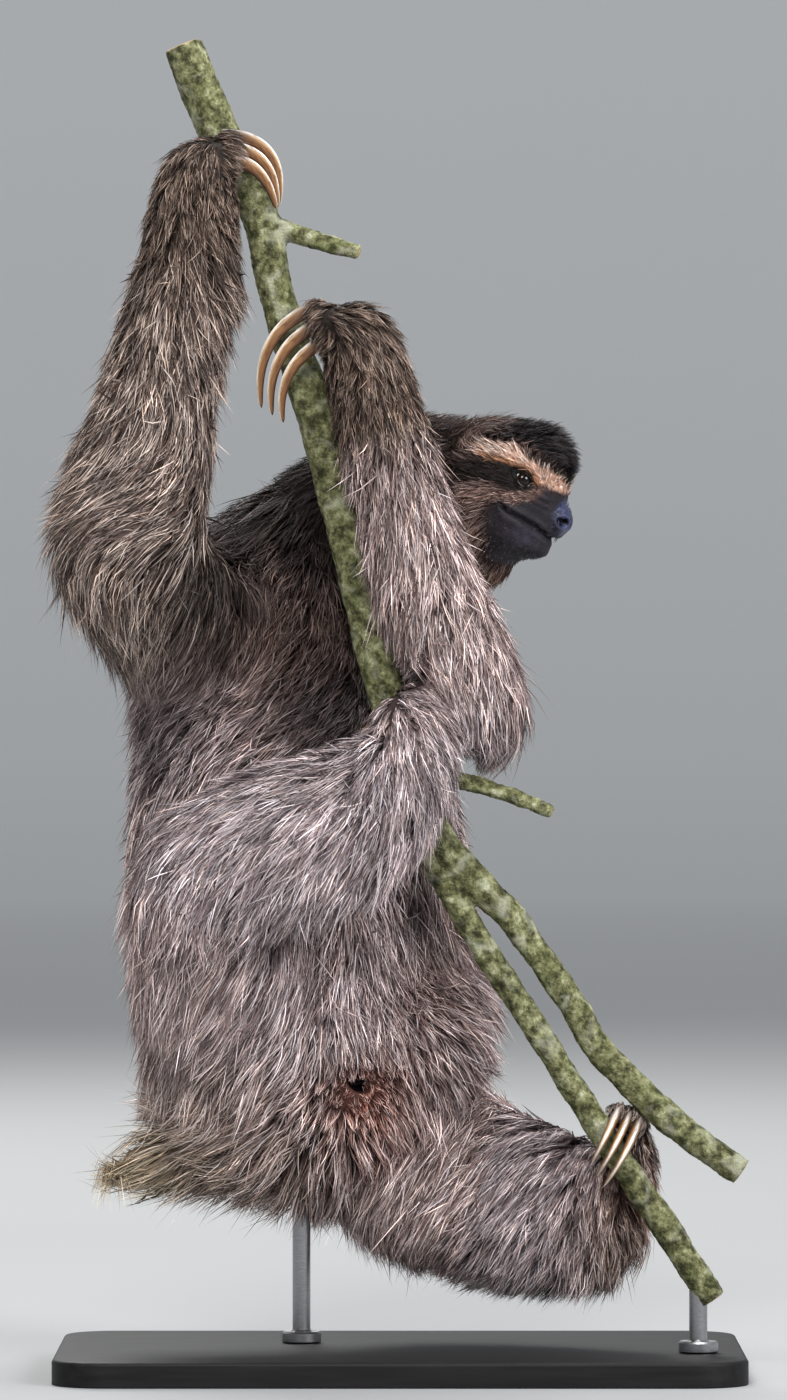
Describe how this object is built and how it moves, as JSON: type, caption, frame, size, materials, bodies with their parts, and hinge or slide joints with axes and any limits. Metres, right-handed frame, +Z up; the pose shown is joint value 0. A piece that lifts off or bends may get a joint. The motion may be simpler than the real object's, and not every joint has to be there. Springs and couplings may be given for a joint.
{
  "type": "three-toed sloth model",
  "caption": "Life-size still model of a three-toed sloth hugging a short cut length of slanting forked branch, head turned to its side, on a flat base with rods.",
  "frame": {"origin": "centre of the base plate's underside", "axes": "+Z up; +X along the base's long side, towards the side the head faces; -Y towards the side with the perch, the animal's belly and its right limbs; +Y towards its back"},
  "size_m": [0.3825, 0.2491, 0.7372],
  "materials": {
    "sloth_fur": "coarse matt grey-brown coat of long hair",
    "claw_horn": "smooth tan horn",
    "eye": "glossy near-black",
    "bark": "rough grey-green bark with moss and lichen",
    "base_lacquer": "satin black lacquer",
    "rod_steel": "brushed"
  },
  "bodies": {
    "root": {"trunk": "sloth_fur", "neck": "sloth_fur", "head": "sloth_fur", "tail": "sloth_fur", "upper_arm_right": "sloth_fur", "upper_arm_left": "sloth_fur", "forearm_right": "sloth_fur", "forearm_left": "sloth_fur", "hand_right": "sloth_fur", "hand_left": "sloth_fur", "thigh_right": "sloth_fur", "thigh_left": "sloth_fur", "shank_right": "sloth_fur", "shank_left": "sloth_fur", "foot_right": "sloth_fur", "foot_left": "sloth_fur", "claw_hand_right_1": "claw_horn", "claw_hand_right_2": "claw_horn", "claw_hand_right_3": "claw_horn", "claw_hand_left_1": "claw_horn", "claw_hand_left_2": "claw_horn", "claw_hand_left_3": "claw_horn", "claw_foot_right_1": "claw_horn", "claw_foot_right_2": "claw_horn", "claw_foot_right_3": "claw_horn", "claw_foot_left_1": "claw_horn", "claw_foot_left_2": "claw_horn", "claw_foot_left_3": "claw_horn", "eye_right": "eye", "eye_left": "eye", "perch_branch": "bark", "stand_base": "base_lacquer", "stand_rod_perch": "rod_steel", "stand_rod_body": "rod_steel"}
  },
  "joints": []
}
